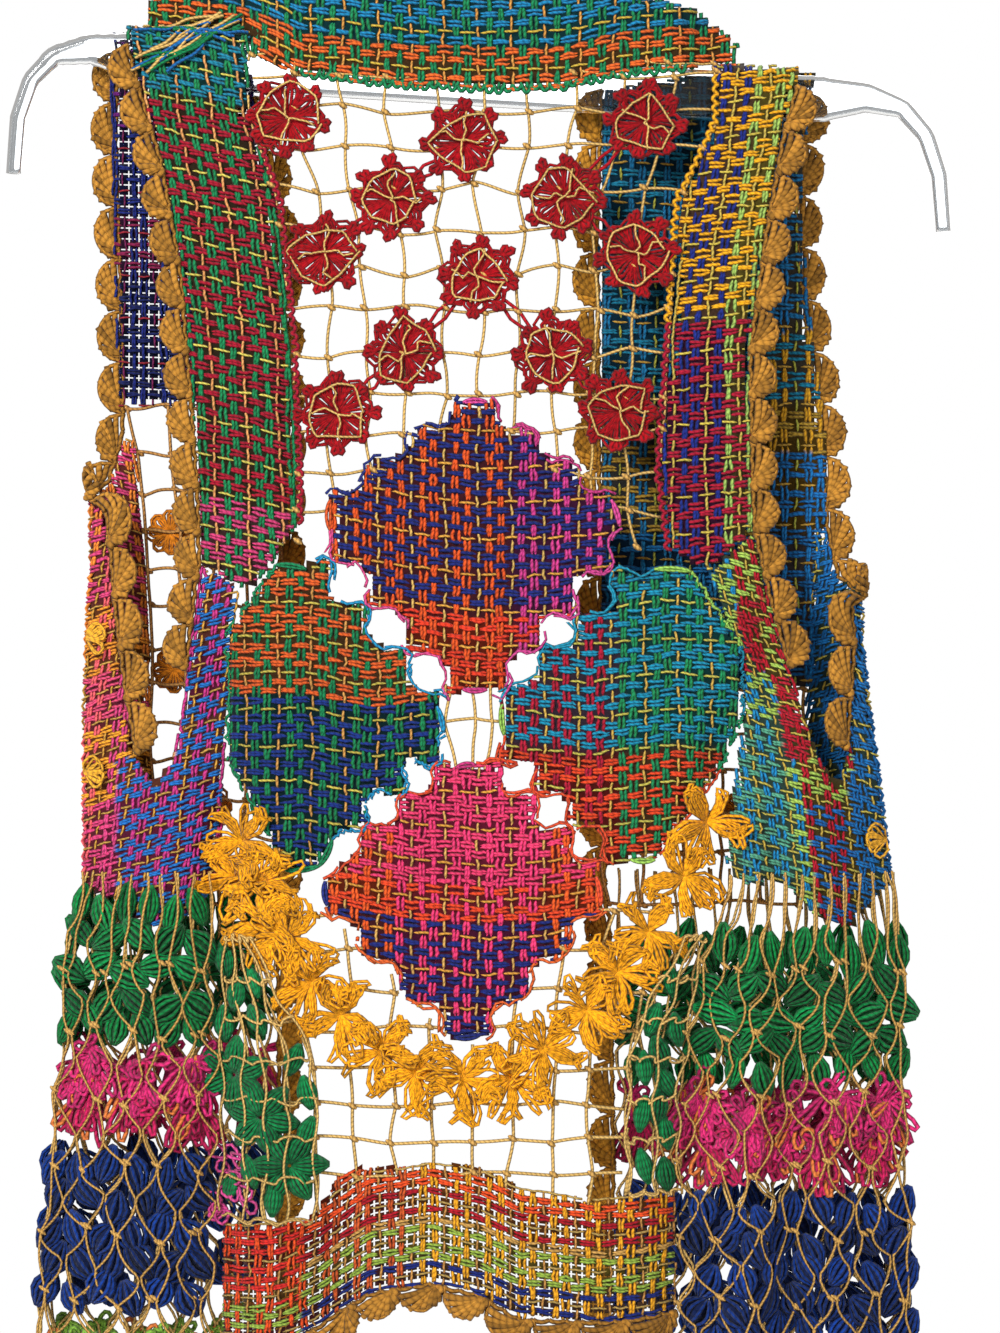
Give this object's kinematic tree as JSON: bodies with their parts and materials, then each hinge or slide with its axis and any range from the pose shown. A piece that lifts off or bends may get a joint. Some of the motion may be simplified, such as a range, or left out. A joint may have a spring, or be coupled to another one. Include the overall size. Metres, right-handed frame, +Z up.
{
  "type": "crochet vest on a hanger",
  "caption": "Open-front sleeveless vest of woven strips, diamonds and flower nets with puffed side skirts, hung flat on a clear hanger.",
  "frame": {"origin": "bearing point of the hanger's hook, under the top of its bend, where a rod carries it", "axes": "+Z up, +X to the right as the back of the vest is seen, +Y towards the fronts"},
  "size_m": [0.4388, 0.0817, 0.7024],
  "materials": {
    "band_weave": "doubled cotton yarn, woven",
    "strap_weave": "doubled cotton yarn, woven",
    "navy_weave": "doubled cotton yarn, woven",
    "green_weave": "doubled cotton yarn, woven",
    "blue_weave": "doubled cotton yarn, woven",
    "magenta_weave": "doubled cotton yarn, woven",
    "hem_weave": "doubled cotton yarn, woven",
    "net_yarn": "twisted cotton yarn, matte",
    "garland_yarn": "loose cotton yarn, matte",
    "puff_yarn": "soft thick yarn, matte",
    "edging_yarn": "twisted cotton yarn, matte",
    "clear_plastic": "clear moulded plastic, glossy",
    "hook_steel": "bright bent wire"
  },
  "bodies": {
    "root": {"neck_band": "band_weave", "back_strap_left": "strap_weave", "back_strap_right": "strap_weave", "back_flower_net": "net_yarn", "diamond_top": "navy_weave", "diamond_left": "green_weave", "diamond_right": "blue_weave", "diamond_bottom": "magenta_weave", "back_garland_net": "garland_yarn", "back_leaf_net_left": "puff_yarn", "back_leaf_net_right": "puff_yarn", "back_hem_band": "hem_weave", "side_panel_left": "magenta_weave", "side_panel_right": "blue_weave", "back_skirt_left": "puff_yarn", "back_skirt_right": "puff_yarn", "front_skirt_left": "puff_yarn", "front_skirt_right": "puff_yarn", "front_weave_left": "navy_weave", "front_weave_right": "blue_weave", "front_lace_left": "net_yarn", "front_lace_right": "net_yarn", "arm_edging_left_back": "edging_yarn", "arm_edging_left_front": "edging_yarn", "arm_edging_right_back": "edging_yarn", "arm_edging_right_front": "edging_yarn", "front_edging_left": "edging_yarn", "front_edging_right": "edging_yarn", "hem_edging": "edging_yarn", "hanger_bar": "clear_plastic", "hanger_hook": "hook_steel"}
  },
  "joints": []
}
